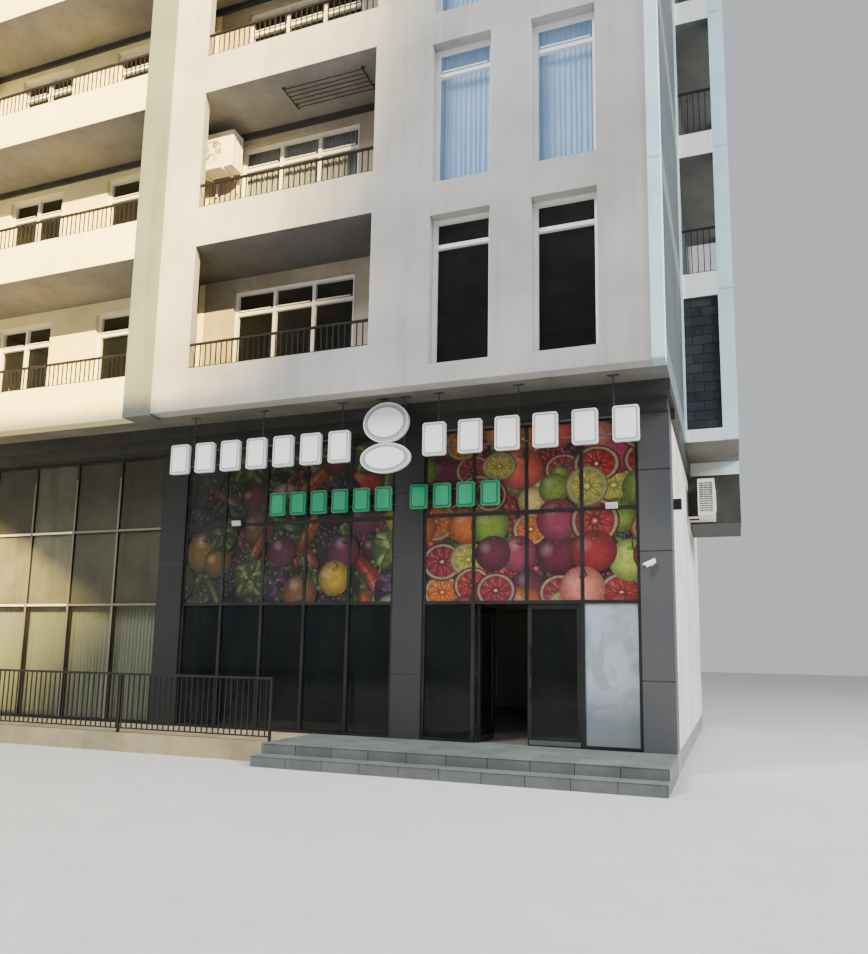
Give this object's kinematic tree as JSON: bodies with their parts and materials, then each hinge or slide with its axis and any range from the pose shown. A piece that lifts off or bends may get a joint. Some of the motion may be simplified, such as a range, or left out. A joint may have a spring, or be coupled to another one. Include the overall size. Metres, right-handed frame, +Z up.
{
  "type": "supermarket building",
  "caption": "Apartment block over a double-height glazed supermarket, with loggias, side balconies, a railed terrace and a double entrance door.",
  "frame": {"origin": "middle of the footprint's bounding box, on the ground", "axes": "+Z up, +X along the street front towards the entrance end, +Y from the front back into the building"},
  "size_m": [17.12, 11.6, 19.74],
  "materials": {
    "wall_grey": "painted render, matt",
    "wall_cream": "painted render, matt",
    "pale_blue": "painted render, matt",
    "white_wall": "painted render, matt",
    "concrete": "cast concrete, painted",
    "beam_paint": "painted concrete, matt",
    "terrace_plaster": "plastered plinth",
    "step_granite": "granite tile, honed",
    "ceiling_board": "painted mineral board",
    "blockwork": "bare concrete blocks",
    "grey_panel": "coated composite sheet",
    "black_frame": "powder coated",
    "shop_glass": "clear float glass",
    "white_frame": "extruded window profile",
    "window_glass": "clear double glazing",
    "railing_black": "painted steel",
    "unit_case": "stove enamelled sheet",
    "hanger_steel": "painted steel",
    "sign_white": "acrylic faced box"
  },
  "bodies": {
    "building": {"floor_slab": "concrete", "terrace": "terrace_plaster", "entrance_steps": "step_granite", "terrace_railing": "railing_black", "shop_columns": "grey_panel", "shopfront_frame_left": "black_frame", "shopfront_frame_right": "black_frame", "wing_shopfront_frame": "black_frame", "shopfront_glass_left": "shop_glass", "shopfront_glass_right": "shop_glass", "wing_shopfront_glass": "shop_glass", "shop_ceiling": "ceiling_board", "soffit_slab": "concrete", "edge_beam_outer": "beam_paint", "edge_beam_inner": "beam_paint", "side_beam": "beam_paint", "ground_side_wall": "white_wall", "ground_rear_wall": "wall_grey", "party_wall": "wall_grey", "front_wall_1": "wall_grey", "front_wall_2": "wall_grey", "front_wall_3": "wall_grey", "front_wall_4": "wall_grey", "pilaster_left": "pale_blue", "corner_strip": "pale_blue", "loggia_walls": "wall_grey", "wing_parapets": "wall_cream", "wing_back_walls": "wall_cream", "upper_floor_slabs": "concrete", "roof_slab": "concrete", "roof_parapet": "wall_grey", "side_wall_upper": "wall_grey", "rear_wall_upper": "wall_grey", "front_window_frames": "white_frame", "front_window_glass": "window_glass", "rear_window_frames": "white_frame", "rear_window_glass": "window_glass", "side_door_frames": "white_frame", "side_door_glass": "window_glass", "loggia_railings": "railing_black", "wing_railings": "railing_black", "side_railings": "railing_black", "side_balconies": "wall_grey", "side_piers": "pale_blue", "side_infill_wall": "blockwork", "side_bay_lower": "grey_panel", "air_conditioners": "unit_case", "sign_hangers": "hanger_steel", "sign_boards": "sign_white"},
    "door_left": {"door_left_leaf": "black_frame", "door_left_glass": "shop_glass"},
    "door_right": {"door_right_leaf": "black_frame", "door_right_glass": "shop_glass"}
  },
  "joints": [
    {"name": "door_left_hinge", "type": "hinge", "parent": "building", "child": "door_left", "pos_m": [4.183, -3.631, 0.32], "axis": [0, 0, 1], "range_deg": [-90, 0]},
    {"name": "door_right_hinge", "type": "hinge", "parent": "building", "child": "door_right", "pos_m": [5.997, -3.631, 0.32], "axis": [0, 0, 1], "range_deg": [-90, 0]}
  ]
}
